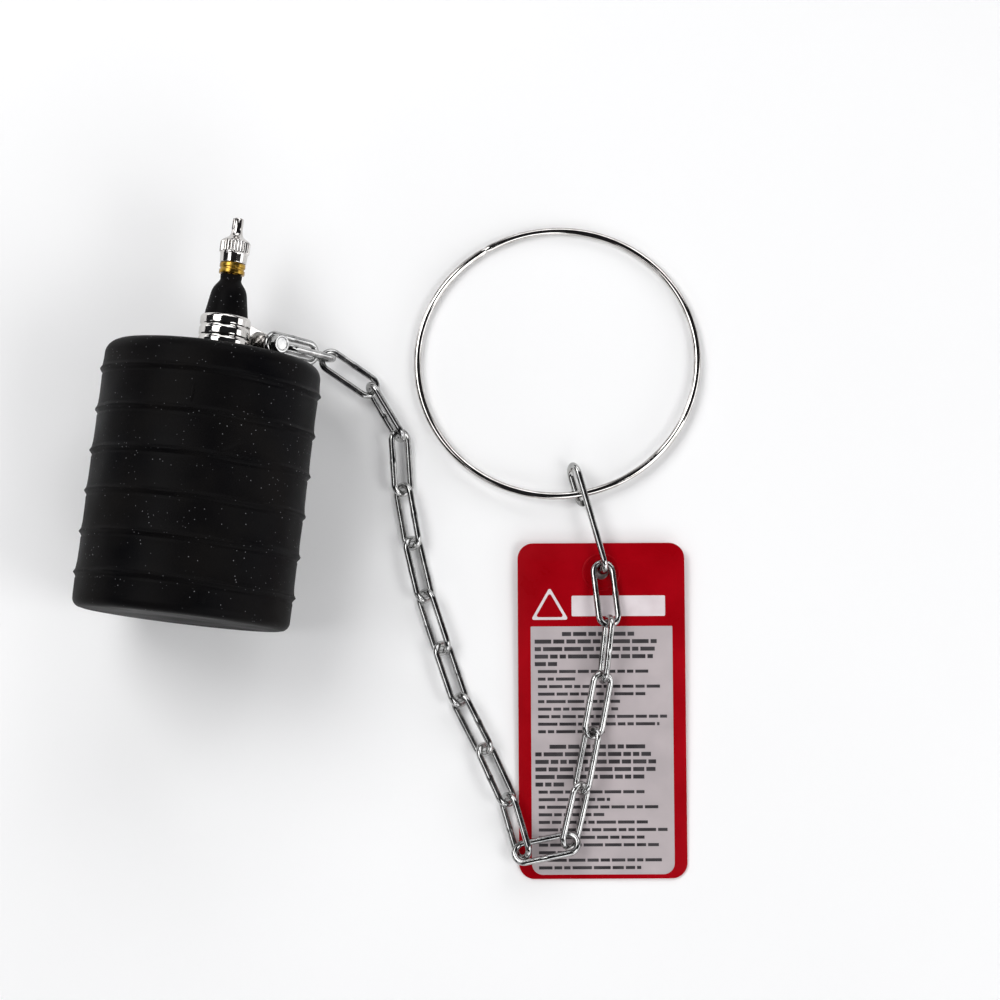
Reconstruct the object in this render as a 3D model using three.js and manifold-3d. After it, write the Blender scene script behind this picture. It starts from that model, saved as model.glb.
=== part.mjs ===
// Inflatable pipe plug: a ribbed rubber body with a tyre valve, tied by a chain to a ring and a warning tag.
// Millimetres, +Z up. The plug lies on its side as it is laid down: its axis runs along Y, valve towards +Y,
// and the chain lies out to +X. The origin is the middle of the flat spot that the body rests on.
import * as THREE from 'three';
import { mergeVertices } from 'three/addons/utils/BufferGeometryUtils.js';
import Module from 'manifold-3d';

// Running gap between pieces that touch, and the small height at which a piece is laid above the floor
const clearance = 0.3;
const floorGap = 0.05;

// Rubber body
const bodyLength = 119;
const bodyRadius = 48;
const bodyWall = 7;
const shoulderRadius = 6;
const endRadius = 4;
const chamberCornerRadius = 4;
const ribCount = 6;
const ribPitch = 18.1;
const ribHeight = 1.2;
const ribWidth = 3;
const ribCrestWidth = 1;
const ribRowOffset = 0.75;
const flatSpotDepth = 1.5;

// Neck moulded on the body
const neckOffset = 2.9;
const neckRootRadius = 9.8;
const neckRootLength = 17.2;
const coneRadius = 7.75;
const coneLength = 12.4;
const neckTipRadius = 4.8;
const flareLength = 3.4;
const flareMiddleRadius = 6.55;
const neckTipLength = 3.4;

// Valve stem
const stemRadius = 3.4;
const airwayRadius = 1.6;
const stemFootRadius = 9;
const stemFootThickness = 2;
const collarRadius = 5.75;
const collarLength = 4.7;
const collarGrooveDepth = 0.35;
const collarGrooveWidth = 0.4;
const nozzleRadius = 3.9;
const nozzleLength = 8.1;
const chamberRadius = 2.7;
const chamberDepth = 18;

// Valve core
const coreLength = 11;
const coreMouthDepth = 1;
const coreBoreRadius = 1;
const coreCupRadius = 1.8;
const coreCupDepth = 5;
const pinRadius = 0.6;
const pinHeadRadius = 1.4;
const pinHeadThickness = 0.8;
const pinHeadDepth = 0.6;
const poppetRadius = 1.9;
const poppetThickness = 1.5;
const sealThickness = 1;
const sealRadius = 2.1;
const springWireRadius = 0.2;
const springCoilRadius = 1.25;
const springTurns = 4;

// Valve cap
const capMouthRadius = 5.9;
const capRadius = 6.7;
const capPlainLength = 4.6;
const knurlLength = 4.2;
const knurlRidges = 22;
const knurlDepth = 0.45;
const capConeLength = 3.3;
const capConeRadius = 3;
const keyRadius = 2.45;
const keyLength = 8.5;
const keyFillet = 0.8;
const keySlotWidth = 1.1;
const keySlotDepth = 5.5;
const keySlotAngle = THREE.MathUtils.degToRad(29);
const capChamfer = 0.6;
const capThreadClearance = 0.4;
const gasketThickness = 0.6;
const gasketBoreRadius = 2.6;

// Clamp strap, its bolt and nuts
const strapThickness = 1.2;
const strapWidth = 14.6;
const beadCount = 3;
const beadHeight = 0.5;
const earWidth = 9.5;
const earGap = 0.6;
const earFillet = 3;
const earReach = 23.6;
const earDroop = THREE.MathUtils.degToRad(45);
const boltInset = 0.4;
const boltRadius = 2.5;
const hexAcrossFlats = 8;
const boltHeadHeight = 3.5;
const nutHeight = 3.5;
const boltTail = 1.2;

// Chain
const linkCount = 18;
const wireRadius = 1.5;
const linkInnerLength = 26;
const linkInnerWidth = 6;
const linkPlay = 0.95;
const tautPlay = 0.4;
const firstLinkSlack = 14.8;
const turnLink = 12;
const chainToTagMiddle = 154.7;
const turnSlack = 4.05;
const turnRise = 1.2;

// Hook, ring and tag
const hookWireRadius = 1.5;
const hookBendRadius = 4.75;
const hookShankLength = 41.2;
const hookLoopLength = 8.6;
const hookHeading = THREE.MathUtils.degToRad(22.7);
const hookLean = THREE.MathUtils.degToRad(20);
const hookTail = 0.8;
const hookSideStep = 0.6;
const ringWireRadius = 1.7;
const ringHalfWidth = 64.8;
const ringHalfHeight = 62.1;
const ringHeading = THREE.MathUtils.degToRad(15.9);
const ringJoint = 0.4;
const ringJointAngle = THREE.MathUtils.degToRad(112);
const tagWidth = 76.2;
const tagLength = 152.4;
const tagThickness = 1;
const tagCornerRadius = 7;
const tagHoleRadius = 3.5;
const tagHoleInset = 13.2;
const tagRimRadius = 8.8;
const tagRimWidth = 1.4;
const tagRimHeight = 0.25;
const tagRimSink = 0.02;
const tagHeading = THREE.MathUtils.degToRad(6.9);

// What follows from those
const half = bodyLength / 2;
const axisHeight = bodyRadius + ribHeight - flatSpotDepth;
const neckTipY = half + neckRootLength + coneLength + flareLength + neckTipLength;
const boreRadius = stemRadius + clearance;
const collarY = neckTipY + clearance;
const nozzleY = collarY + collarLength;
const mouthY = nozzleY + nozzleLength;
const stemFootY = half - bodyWall - clearance - stemFootThickness;
const coreTopY = mouthY - coreMouthDepth;
const coreY = coreTopY - coreLength;
const pinTopY = coreTopY + coreMouthDepth - pinHeadDepth - clearance;
const capY = nozzleY + clearance;
const linkBend = linkInnerWidth / 2 + wireRadius;
const linkHalf = linkInnerLength / 2 + wireRadius;
const linkPitch = linkInnerLength - linkPlay;

const wasm = await Module();
wasm.setup();

const plug = new THREE.Group();
const rubber = new THREE.MeshStandardMaterial({ color: 0x17181c, roughness: 0.82, metalness: 0 });
const softRubber = new THREE.MeshStandardMaterial({ color: 0x101012, roughness: 0.7, metalness: 0 });
const brass = new THREE.MeshStandardMaterial({ color: 0xb5892c, roughness: 0.32, metalness: 1 });
const chrome = new THREE.MeshStandardMaterial({ color: 0xd9d9d6, roughness: 0.12, metalness: 1 });
const zinc = new THREE.MeshStandardMaterial({ color: 0xa9aaa6, roughness: 0.3, metalness: 1 });
const redPlastic = new THREE.MeshStandardMaterial({ color: 0xa80713, roughness: 0.45, metalness: 0 });

// A three.js geometry as a solid that can be joined and cut.
function solidOf(geometry) {
  const bare = geometry.index ? geometry.toNonIndexed() : geometry.clone();
  bare.deleteAttribute('normal');
  bare.deleteAttribute('uv');
  const merged = mergeVertices(bare, 1e-4);
  return new wasm.Manifold(new wasm.Mesh({
    numProp: 3,
    vertProperties: merged.getAttribute('position').array,
    triVerts: new Uint32Array(merged.index.array),
  }));
}

// A joined or cut solid as a three.js geometry.
function geometryOf(solid) {
  const { vertProperties, triVerts } = solid.getMesh();
  const geometry = new THREE.BufferGeometry();
  geometry.setAttribute('position', new THREE.BufferAttribute(new Float32Array(vertProperties), 3));
  geometry.setIndex(new THREE.BufferAttribute(new Uint32Array(triVerts), 1));
  return geometry;
}

function addMesh(parent, name, geometry, material) {
  const mesh = new THREE.Mesh(geometry, material);
  mesh.name = name;
  parent.add(mesh);
  return mesh;
}

// A piece turned about the Y axis from [radius, y] points.
function turned(points, segments) {
  const profile = points.map(([radius, y]) => new THREE.Vector2(radius, y));
  return new THREE.LatheGeometry(profile, segments);
}

// The same for a ring-shaped piece, whose outline closes on itself.
function turnedRing(points, segments) {
  return turned([...points, points[0]], segments);
}

// Points of a round corner of a turned outline, from one angle to another.
function corner(radius, y, bend, from, to, steps) {
  return Array.from({ length: steps + 1 }, (_, i) => {
    const angle = THREE.MathUtils.degToRad(from + (to - from) * i / steps);
    return [radius + bend * Math.cos(angle), y + bend * Math.sin(angle)];
  });
}

// A wire bent along a curve, with flat ends.
function wire(curve, radius, sides, steps) {
  const section = new THREE.Shape(
    Array.from({ length: sides }, (_, i) => {
      const angle = 2 * Math.PI * (i + 0.5) / sides;
      return new THREE.Vector2(radius * Math.cos(angle), radius * Math.sin(angle));
    }),
  );
  return new THREE.ExtrudeGeometry(section, { extrudePath: curve, steps });
}

// A hexagon prism that stands on the XY plane.
function hexagon(height) {
  const cornerRadius = hexAcrossFlats / Math.sqrt(3);
  return new THREE.CylinderGeometry(cornerRadius, cornerRadius, height, 6)
    .rotateX(Math.PI / 2)
    .translate(0, 0, height / 2);
}

// Body: one hollow moulding with ribs, a rounded shoulder and a tapered neck; the bore opens its air chamber.
function ribOutline(y) {
  return [
    [bodyRadius, y - ribWidth / 2],
    [bodyRadius + ribHeight, y - ribCrestWidth / 2],
    [bodyRadius + ribHeight, y + ribCrestWidth / 2],
    [bodyRadius, y + ribWidth / 2],
  ];
}

const ribs = Array.from({ length: ribCount }, (_, i) => ribRowOffset + (i - (ribCount - 1) / 2) * ribPitch);
const shell = solidOf(turned([
  [0, -half],
  ...corner(bodyRadius - endRadius, endRadius - half, endRadius, -90, 0, 3),
  ...ribs.flatMap(ribOutline),
  ...corner(bodyRadius - shoulderRadius, half - shoulderRadius, shoulderRadius, 0, 90, 4),
  [0, half],
], 36));
const chamberRadiusOut = bodyRadius - bodyWall;
const chamberHalf = half - bodyWall;
const airChamber = solidOf(turned([
  [0, -chamberHalf],
  ...corner(chamberRadiusOut - chamberCornerRadius, chamberCornerRadius - chamberHalf, chamberCornerRadius, -90, 0, 2),
  ...corner(chamberRadiusOut - chamberCornerRadius, chamberHalf - chamberCornerRadius, chamberCornerRadius, 0, 90, 2),
  [0, chamberHalf],
], 20));
const coneY = half + neckRootLength;
const flareY = coneY + coneLength;
const tipY = flareY + flareLength;
const neck = solidOf(turned([
  [0, half - bodyWall / 2],
  [neckRootRadius, half - bodyWall / 2],
  [neckRootRadius, coneY],
  [coneRadius, flareY],
  [flareMiddleRadius, flareY + flareLength / 2],
  [neckTipRadius, tipY],
  [neckTipRadius, neckTipY],
  [0, neckTipY],
], 20)).translate([neckOffset, 0, 0]);
const neckBore = solidOf(
  new THREE.CylinderGeometry(boreRadius, boreRadius, bodyLength, 20).translate(neckOffset, half + bodyWall, 0),
);
const floorCut = solidOf(
  new THREE.BoxGeometry(2 * bodyRadius, 2 * bodyLength, bodyRadius).translate(0, 0, -axisHeight - bodyRadius / 2),
);
const plugAxis = new THREE.Group();
plugAxis.position.z = axisHeight;
plug.add(plugAxis);
const bodySolid = shell.subtract(airChamber).add(neck).subtract(neckBore).subtract(floorCut);
addMesh(plugAxis, 'rubber_body', geometryOf(bodySolid), rubber);

// Valve stem: a turned brass tube with a foot inside the body, a grooved collar and a threaded nozzle
const valve = new THREE.Group();
valve.position.x = neckOffset;
plugAxis.add(valve);
const grooveY = collarY + (collarLength - collarGrooveWidth) / 2;
addMesh(valve, 'valve_stem', turnedRing([
  [airwayRadius, stemFootY],
  [stemFootRadius, stemFootY],
  [stemFootRadius, stemFootY + stemFootThickness],
  [stemRadius, stemFootY + stemFootThickness],
  [stemRadius, collarY],
  [collarRadius, collarY],
  [collarRadius, grooveY - collarGrooveDepth],
  [collarRadius - collarGrooveDepth, grooveY],
  [collarRadius - collarGrooveDepth, grooveY + collarGrooveWidth],
  [collarRadius, grooveY + collarGrooveWidth + collarGrooveDepth],
  [collarRadius, nozzleY],
  [nozzleRadius, nozzleY],
  [nozzleRadius, mouthY],
  [chamberRadius, mouthY],
  [chamberRadius, mouthY - chamberDepth],
  [airwayRadius, mouthY - chamberDepth],
], 18), brass);

// Valve core: sleeve, pin with its poppet, rubber seal and the spring that holds the valve shut
const cupY = coreTopY - coreCupDepth;
const sleeveRadius = chamberRadius - clearance;
addMesh(valve, 'core_body', turnedRing([
  [coreBoreRadius, coreY],
  [sleeveRadius, coreY],
  [sleeveRadius, coreTopY],
  [coreCupRadius, coreTopY],
  [coreCupRadius, cupY],
  [coreBoreRadius, cupY],
], 16), brass);
const sealY = coreY - clearance - sealThickness;
const poppetY = sealY - clearance - poppetThickness;
const pinHeadY = pinTopY - pinHeadThickness;
addMesh(valve, 'core_pin', turned([
  [0, poppetY],
  [poppetRadius, poppetY],
  [poppetRadius, poppetY + poppetThickness],
  [pinRadius, poppetY + poppetThickness],
  [pinRadius, pinHeadY],
  [pinHeadRadius, pinHeadY],
  [pinHeadRadius, pinTopY],
  [0, pinTopY],
], 12), brass);
addMesh(valve, 'core_seal', turnedRing([
  [pinRadius + clearance, sealY],
  [sealRadius, sealY],
  [sealRadius, sealY + sealThickness],
  [pinRadius + clearance, sealY + sealThickness],
], 16), softRubber);

class Helix extends THREE.Curve {
  constructor(radius, bottom, top, turns) {
    super();
    Object.assign(this, { radius, bottom, top, turns });
  }

  getPoint(t, target = new THREE.Vector3()) {
    const angle = 2 * Math.PI * this.turns * t;
    const y = this.bottom + (this.top - this.bottom) * t;
    return target.set(this.radius * Math.cos(angle), y, this.radius * Math.sin(angle));
  }
}

const springEnd = clearance + springWireRadius;
const springCurve = new Helix(springCoilRadius, cupY + springEnd, pinHeadY - springEnd, springTurns);
addMesh(valve, 'core_spring', wire(springCurve, springWireRadius, 5, 8 * springTurns), zinc);

// Valve cap: knurled grip, tapered skirt and a slotted key, hollow for the nozzle
const capGripY = capY + capPlainLength;
const capShoulderY = capGripY + knurlLength;
const capKeyY = capShoulderY + capConeLength;
const capTopY = capKeyY + keyLength;
const capCavityRadius = nozzleRadius + capThreadClearance;
const capCavityY = mouthY + 2 * clearance + gasketThickness;
const capBlank = solidOf(turned([
  [0, capY],
  [capMouthRadius, capY],
  [capRadius - knurlDepth, capGripY - capChamfer],
  [capRadius - knurlDepth, capShoulderY],
  [capConeRadius, capKeyY],
  [keyRadius, capKeyY + keyFillet],
  [keyRadius, capTopY - capChamfer],
  [keyRadius - capChamfer, capTopY],
  [0, capTopY],
], 20));
const knurl = new THREE.Shape(
  Array.from({ length: 2 * knurlRidges }, (_, i) => {
    const radius = i % 2 ? capRadius - knurlDepth : capRadius + knurlDepth / 2;
    const angle = Math.PI * i / knurlRidges;
    return new THREE.Vector2(radius * Math.cos(angle), radius * Math.sin(angle));
  }),
);
const knurlBand = solidOf(
  new THREE.ExtrudeGeometry(knurl, { depth: knurlLength, bevelEnabled: false })
    .rotateX(-Math.PI / 2)
    .translate(0, capGripY, 0),
);
const capCavity = solidOf(
  new THREE.CylinderGeometry(capCavityRadius, capCavityRadius, 2 * (capCavityY - capY), 20).translate(0, capY, 0),
);
const keySlot = solidOf(
  new THREE.BoxGeometry(4 * keyRadius, 2 * keySlotDepth, keySlotWidth).rotateY(keySlotAngle).translate(0, capTopY, 0),
);
addMesh(valve, 'valve_cap', geometryOf(capBlank.add(knurlBand).subtract(capCavity).subtract(keySlot)), chrome);
addMesh(valve, 'cap_gasket', turnedRing([
  [gasketBoreRadius, mouthY + clearance],
  [capCavityRadius - clearance, mouthY + clearance],
  [capCavityRadius - clearance, mouthY + clearance + gasketThickness],
  [gasketBoreRadius, mouthY + clearance + gasketThickness],
], 20), softRubber);

// Clamp strap: a beaded band around the neck's root; its two ends run out as ears that droop towards the chain.
// In the clamp's own frame X runs out along the ears, Y along the neck and Z along the bolt.
const strapInner = neckRootRadius + clearance;
const strapOuter = strapInner + strapThickness;
const strapY = coneY - strapWidth;
const earFace = earGap / 2 + strapThickness;
const beadPitch = strapWidth / beadCount;
const bandOutline = [
  [strapInner, strapY],
  ...Array.from({ length: beadCount }, (_, i) => [
    [strapOuter - beadHeight, strapY + i * beadPitch],
    [strapOuter, strapY + (i + 0.25) * beadPitch],
    [strapOuter, strapY + (i + 0.75) * beadPitch],
  ]).flat(),
  [strapOuter - beadHeight, strapY + strapWidth],
  [strapInner, strapY + strapWidth],
];
const clamp = new THREE.Group();
clamp.rotation.y = earDroop;
valve.add(clamp);
const earRoot = strapOuter - beadHeight;
const filletX = Math.sqrt((earRoot + earFillet) ** 2 - (earFace + earFillet) ** 2);
const filletAngle = Math.atan2(earFace + earFillet, filletX);
const earEndX = earReach + earWidth / 2;
const earSection = new THREE.Shape()
  .moveTo(earEndX, -earFace)
  .lineTo(earEndX, earFace)
  .lineTo(filletX, earFace)
  .absarc(filletX, earFace + earFillet, earFillet, -Math.PI / 2, filletAngle - Math.PI, true)
  .lineTo(strapInner * Math.cos(filletAngle), strapInner * Math.sin(filletAngle))
  .lineTo(strapInner, 0)
  .lineTo(strapInner * Math.cos(filletAngle), -strapInner * Math.sin(filletAngle))
  .lineTo(earRoot * Math.cos(filletAngle), -earRoot * Math.sin(filletAngle))
  .absarc(filletX, -earFace - earFillet, earFillet, Math.PI - filletAngle, Math.PI / 2, true);
const boltY = coneY - strapWidth / 2 - boltInset;
const earPair = solidOf(
  new THREE.ExtrudeGeometry(earSection, { depth: earWidth, bevelEnabled: false, curveSegments: 4 })
    .rotateX(Math.PI / 2)
    .translate(0, boltY + earWidth / 2, 0),
);
const earPlan = new THREE.Shape()
  .moveTo(0, -earWidth)
  .lineTo(earReach, -earWidth / 2)
  .absarc(earReach, 0, earWidth / 2, -Math.PI / 2, Math.PI / 2, false)
  .lineTo(0, earWidth);
const earTrim = solidOf(
  new THREE.ExtrudeGeometry(earPlan, { depth: 4 * strapOuter, bevelEnabled: false, curveSegments: 8 })
    .translate(0, boltY, -2 * strapOuter),
);
const earSlit = solidOf(
  new THREE.BoxGeometry(2 * earEndX, 2 * strapWidth, earGap).translate(earEndX, boltY, 0),
);
const boltHole = solidOf(
  new THREE.CylinderGeometry(boltRadius + clearance, boltRadius + clearance, 4 * earFace, 16)
    .rotateX(Math.PI / 2)
    .translate(earReach, boltY, 0),
);
const neckRoom = solidOf(
  new THREE.CylinderGeometry(strapInner, strapInner, 3 * strapWidth, 20).translate(0, boltY, 0),
);
const band = solidOf(turnedRing(bandOutline, 20));
const clampSolid = band.add(earPair.intersect(earTrim)).subtract(neckRoom).subtract(earSlit).subtract(boltHole);
addMesh(clamp, 'clamp_strap', geometryOf(clampSolid), chrome);

// Bolt through the ears: the lower and upper nuts grip them, and the first link hangs under the head
const nutSeat = earFace + clearance;
const linkSeat = nutSeat + nutHeight + clearance;
const headSeat = linkSeat + 2 * wireRadius + 2 * clearance;
const bolt = new THREE.Group();
bolt.position.set(earReach, boltY, 0);
clamp.add(bolt);
const shankBottom = -nutSeat - nutHeight - boltTail;
const shankLength = headSeat + boltHeadHeight / 2 - shankBottom;
const shank = solidOf(
  new THREE.CylinderGeometry(boltRadius, boltRadius, shankLength, 16)
    .rotateX(Math.PI / 2)
    .translate(0, 0, shankBottom + shankLength / 2),
);
const boltHead = solidOf(hexagon(boltHeadHeight).translate(0, 0, headSeat));
addMesh(bolt, 'clamp_bolt', geometryOf(shank.add(boltHead)), zinc);
const nutBore = solidOf(
  new THREE.CylinderGeometry(boltRadius + clearance, boltRadius + clearance, 4 * nutHeight, 16).rotateX(Math.PI / 2),
);
const nut = geometryOf(solidOf(hexagon(nutHeight)).subtract(nutBore));
addMesh(bolt, 'clamp_nut_upper', nut, chrome).position.z = nutSeat;
addMesh(bolt, 'clamp_nut_lower', nut, zinc).position.z = -nutSeat - nutHeight;

// Chain link: a torus whose two halves are drawn apart, so the wire runs straight between its round ends
function linkGeometry() {
  const stepsPerEnd = 6;
  const segments = 2 * (stepsPerEnd + 1);
  const shift = linkHalf - linkBend;
  const link = new THREE.TorusGeometry(linkBend, wireRadius, 8, segments);
  const position = link.getAttribute('position');
  for (let i = 0; i < position.count; i += 1) {
    const angle = Math.atan2(position.getY(i), position.getX(i));
    const station = (Math.round(angle * segments / (2 * Math.PI)) + segments) % segments;
    const side = station <= stepsPerEnd ? 1 : -1;
    const along = (station % (stepsPerEnd + 1)) / stepsPerEnd;
    const bend = Math.PI * (along - 0.5) + (side < 0 ? Math.PI : 0);
    const reach = Math.hypot(position.getX(i), position.getY(i));
    position.setXY(i, side * shift + reach * Math.cos(bend), reach * Math.sin(bend));
  }
  return link;
}

// How each link is rolled about its own length, in degrees: first and last lie as their bolt and hook hold them
const linkRolls = [0, 90, -10, 72, -37];
for (let i = linkRolls.length; i < linkCount - 4; i += 1) {
  linkRolls.push(i % 2 ? 45 : -45);
}
linkRolls.push(-50, 30, -75, 9);
linkRolls[turnLink - 1] = 50;
linkRolls[turnLink] = -20;

// Puts a link with its middle at a point, its length along a direction and its width rolled from the level.
const up = new THREE.Vector3(0, 0, 1);
const linkShape = linkGeometry();
function addLink(index, centre, direction) {
  const link = addMesh(plug, `chain_link_${String(index + 1).padStart(2, '0')}`, linkShape, zinc);
  const level = new THREE.Vector3().crossVectors(up, direction).normalize();
  const width = level.applyAxisAngle(direction, THREE.MathUtils.degToRad(linkRolls[index]));
  const normal = new THREE.Vector3().crossVectors(direction, width);
  link.quaternion.setFromRotationMatrix(new THREE.Matrix4().makeBasis(direction, width, normal));
  link.position.copy(centre);
}

// First link: around the bolt, in the plane of the ears. The second hangs slack in it.
plug.updateMatrixWorld(true);
const outward = new THREE.Vector3(1, 0, 0).transformDirection(clamp.matrixWorld);
const boltDirection = new THREE.Vector3(0, 0, 1).transformDirection(clamp.matrixWorld);
const boltPoint = bolt.localToWorld(new THREE.Vector3(0, 0, linkSeat + wireRadius));
const firstCentre = boltPoint.clone().addScaledVector(outward, linkHalf - wireRadius - clearance - boltRadius);
addLink(0, firstCentre, outward);
const slackDrop = linkBend - 2 * wireRadius - clearance;
const secondCentre = firstCentre.clone()
  .addScaledVector(outward, linkPitch - firstLinkSlack)
  .addScaledVector(boltDirection, -slackDrop);
addLink(1, secondCentre, outward);

// Where the chain lies after that: points chosen by hand, in plan from the second link's free end,
// with the height of what lies under the chain there. It turns back across the tag's left edge.
const chainStart = secondCentre.clone().addScaledVector(outward, linkPitch / 2 - clearance);
const onFloor = linkBend * Math.SQRT1_2 + wireRadius + floorGap;
const turnEdge = chainToTagMiddle - tagWidth / 2;
const chainRoute = [
  [21.9, -11.1, 1.7],
  [36.8, -29.5, 1.3],
  [41.2, -54.4, 0],
  [48.6, -78.9, 0],
  [57.2, -102.4, 0],
  [67.7, -125.1, 0],
  [78.4, -147.8, 0],
  [turnEdge - 24.3, -168.6, 0],
  [turnEdge - 11.2, -189.9, 0.5],
  [turnEdge, -216.2, 1.2],
  [turnEdge + 18.8, -207, 1.8],
  [137.8, -187.6, 2.5],
  [140.3, -157.6, 3.7],
  [142.3, -131.6, 5.1],
  [142.3, -101.6, 5.1],
  [136.3, -79.6, 1.9],
  [128.8, -53.6, 1.9],
].map(([x, y, lift]) => new THREE.Vector3(chainStart.x + x, chainStart.y + y, onFloor + lift));

// The next point on the route that lies a given distance from a point, after the leg already reached.
function stepAlong(route, from, leg, distance) {
  for (let i = leg; i < route.length - 1; i += 1) {
    const start = i === leg ? from.clone() : route[i];
    const line = new THREE.Line3(start, route[i + 1]);
    if (from.distanceTo(line.end) >= distance) {
      let near = 0;
      let far = 1;
      for (let k = 0; k < 40; k += 1) {
        const middle = (near + far) / 2;
        if (from.distanceTo(line.at(middle, new THREE.Vector3())) < distance) near = middle;
        else far = middle;
      }
      return { point: line.at(far, new THREE.Vector3()), leg: i };
    }
  }
  return null;
}

const route = [chainStart, ...chainRoute];
let joint = { point: chainStart, leg: 0 };
let lastDirection = outward;
for (let i = 2; i < linkCount; i += 1) {
  const atTurn = i === turnLink;
  const pitch = linkInnerLength - (i > turnLink ? tautPlay : linkPlay) - (atTurn ? turnSlack : 0);
  const next = stepAlong(route, joint.point, joint.leg, pitch);
  const middle = joint.point.clone().lerp(next.point, 0.5);
  middle.z += atTurn ? turnRise : 0;
  lastDirection = next.point.clone().sub(joint.point).normalize();
  addLink(i, middle, lastDirection);
  joint = next;
}

// Hook: a wire bent in one leaning plane. Its open end goes down through the last link and the tag's hole,
// and its closed loop holds the ring. Its own frame has X along the shank and Y across, up the lean.
const lastCrown = joint.point.clone().addScaledVector(lastDirection, linkHalf - linkPitch / 2);
const hookDirection = new THREE.Vector3(-Math.sin(hookHeading), Math.cos(hookHeading), 0);
const hookSide = new THREE.Vector3(Math.cos(hookHeading), Math.sin(hookHeading), 0);
const hookRise = up.clone().multiplyScalar(Math.cos(hookLean)).addScaledVector(hookSide, Math.sin(hookLean));
const hookNormal = new THREE.Vector3().crossVectors(hookDirection, hookRise);
const crownInset = hookBendRadius - hookWireRadius - 4 * clearance - wireRadius;
const hook = new THREE.Group();
hook.quaternion.setFromRotationMatrix(new THREE.Matrix4().makeBasis(hookDirection, hookRise, hookNormal));
hook.position.copy(lastCrown)
  .addScaledVector(hookDirection, crownInset)
  .addScaledVector(hookNormal, -hookSideStep);
hook.position.z = hookBendRadius * Math.cos(hookLean) + hookWireRadius + floorGap;
plug.add(hook);

class HookLine extends THREE.CurvePath {
  arc(x, from, to) {
    const arc = new THREE.EllipseCurve(x, 0, hookBendRadius, hookBendRadius, from, to, from > to, 0);
    this.add(new THREE.CatmullRomCurve3(arc.getPoints(12).map(({ x: px, y: py }) => new THREE.Vector3(px, py, 0))));
    return this;
  }

  straight(fromX, toX, y) {
    this.add(new THREE.LineCurve3(new THREE.Vector3(fromX, y, 0), new THREE.Vector3(toX, y, 0)));
    return this;
  }
}
const loopNear = hookShankLength - hookLoopLength;
const hookLine = new HookLine()
  .straight(hookTail, 0, -hookBendRadius)
  .arc(0, -Math.PI / 2, -1.5 * Math.PI)
  .straight(0, hookShankLength, hookBendRadius)
  .arc(hookShankLength, Math.PI / 2, -Math.PI / 2)
  .straight(hookShankLength, loopNear, -hookBendRadius)
  .arc(loopNear, -Math.PI / 2, -Math.PI);
addMesh(hook, 'ring_hook', wire(hookLine, hookWireRadius, 8, 34), zinc);

// Ring: lies in the hook's loop, so it tilts a little; its far side is on the floor
plug.updateMatrixWorld(true);
const ringDrop = hookBendRadius - hookWireRadius - ringWireRadius / Math.cos(hookLean) - clearance;
const ringPoint = hook.localToWorld(new THREE.Vector3(loopNear, -ringDrop, 0));
const ringTilt = Math.asin((ringPoint.z - ringWireRadius - floorGap) / (2 * ringHalfHeight));
const ring = new THREE.Group();
ring.rotation.set(-ringTilt, 0, ringHeading, 'ZYX');
ring.position.copy(ringPoint);
plug.add(ring);
const jointHalf = ringJoint / 2 / ringHalfHeight;
const ringOval = new THREE.EllipseCurve(
  0, ringHalfHeight, ringHalfWidth, ringHalfHeight,
  ringJointAngle + jointHalf, ringJointAngle + 2 * Math.PI - jointHalf, false, 0,
);
const ringLine = new THREE.CatmullRomCurve3(ringOval.getPoints(72).map(({ x, y }) => new THREE.Vector3(x, y, 0)));
addMesh(ring, 'safety_ring', wire(ringLine, ringWireRadius, 8, 40), chrome);

// Tag: a flat sheet with round corners and a rim around its hole; the hook's wire under it tips its top end up
const tagBottom = hook.position.z - (hookBendRadius * Math.cos(hookLean) - hookWireRadius) + clearance;
const tagReach = tagLength - tagHoleInset;
const tagTilt = Math.asin((tagBottom - floorGap) / tagReach);
const crossing = (tagBottom + tagThickness / 2 - hook.position.z) / Math.cos(hookLean);
const wirePoint = hook.localToWorld(new THREE.Vector3(-Math.sqrt(hookBendRadius ** 2 - crossing ** 2), crossing, 0));
const tagUpward = new THREE.Vector3(-Math.sin(tagHeading), Math.cos(tagHeading), 0);
const holePlay = tagHoleRadius - hookWireRadius - 5 * clearance;
const tag = new THREE.Group();
tag.rotation.set(tagTilt, 0, tagHeading, 'ZYX');
tag.position.copy(wirePoint).addScaledVector(tagUpward, -holePlay);
tag.position.z = tagBottom;
plug.add(tag);

const tagOutline = new THREE.Shape();
const left = -tagWidth / 2 + tagCornerRadius;
const right = tagWidth / 2 - tagCornerRadius;
const lower = tagHoleInset - tagLength + tagCornerRadius;
const upper = tagHoleInset - tagCornerRadius;
tagOutline
  .absarc(right, lower, tagCornerRadius, -Math.PI / 2, 0, false)
  .absarc(right, upper, tagCornerRadius, 0, Math.PI / 2, false)
  .absarc(left, upper, tagCornerRadius, Math.PI / 2, Math.PI, false)
  .absarc(left, lower, tagCornerRadius, Math.PI, 1.5 * Math.PI, false);
tagOutline.holes.push(new THREE.Path().absarc(0, 0, tagHoleRadius, 0, 2 * Math.PI, true));
const tagSheet = solidOf(
  new THREE.ExtrudeGeometry(tagOutline, { depth: tagThickness, bevelEnabled: false, curveSegments: 6 }),
);
const tagRim = solidOf(turnedRing([
  [tagRimRadius - tagRimWidth, 0],
  [tagRimRadius, 0],
  [tagRimRadius - tagRimWidth / 2, tagRimHeight],
], 18).rotateX(Math.PI / 2).translate(0, 0, tagThickness - tagRimSink));
addMesh(tag, 'warning_tag', geometryOf(tagSheet.add(tagRim)), redPlastic);

export default plug;
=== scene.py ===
import math
import bpy
import bmesh
import numpy as np
from mathutils import Matrix, Vector, noise


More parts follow.
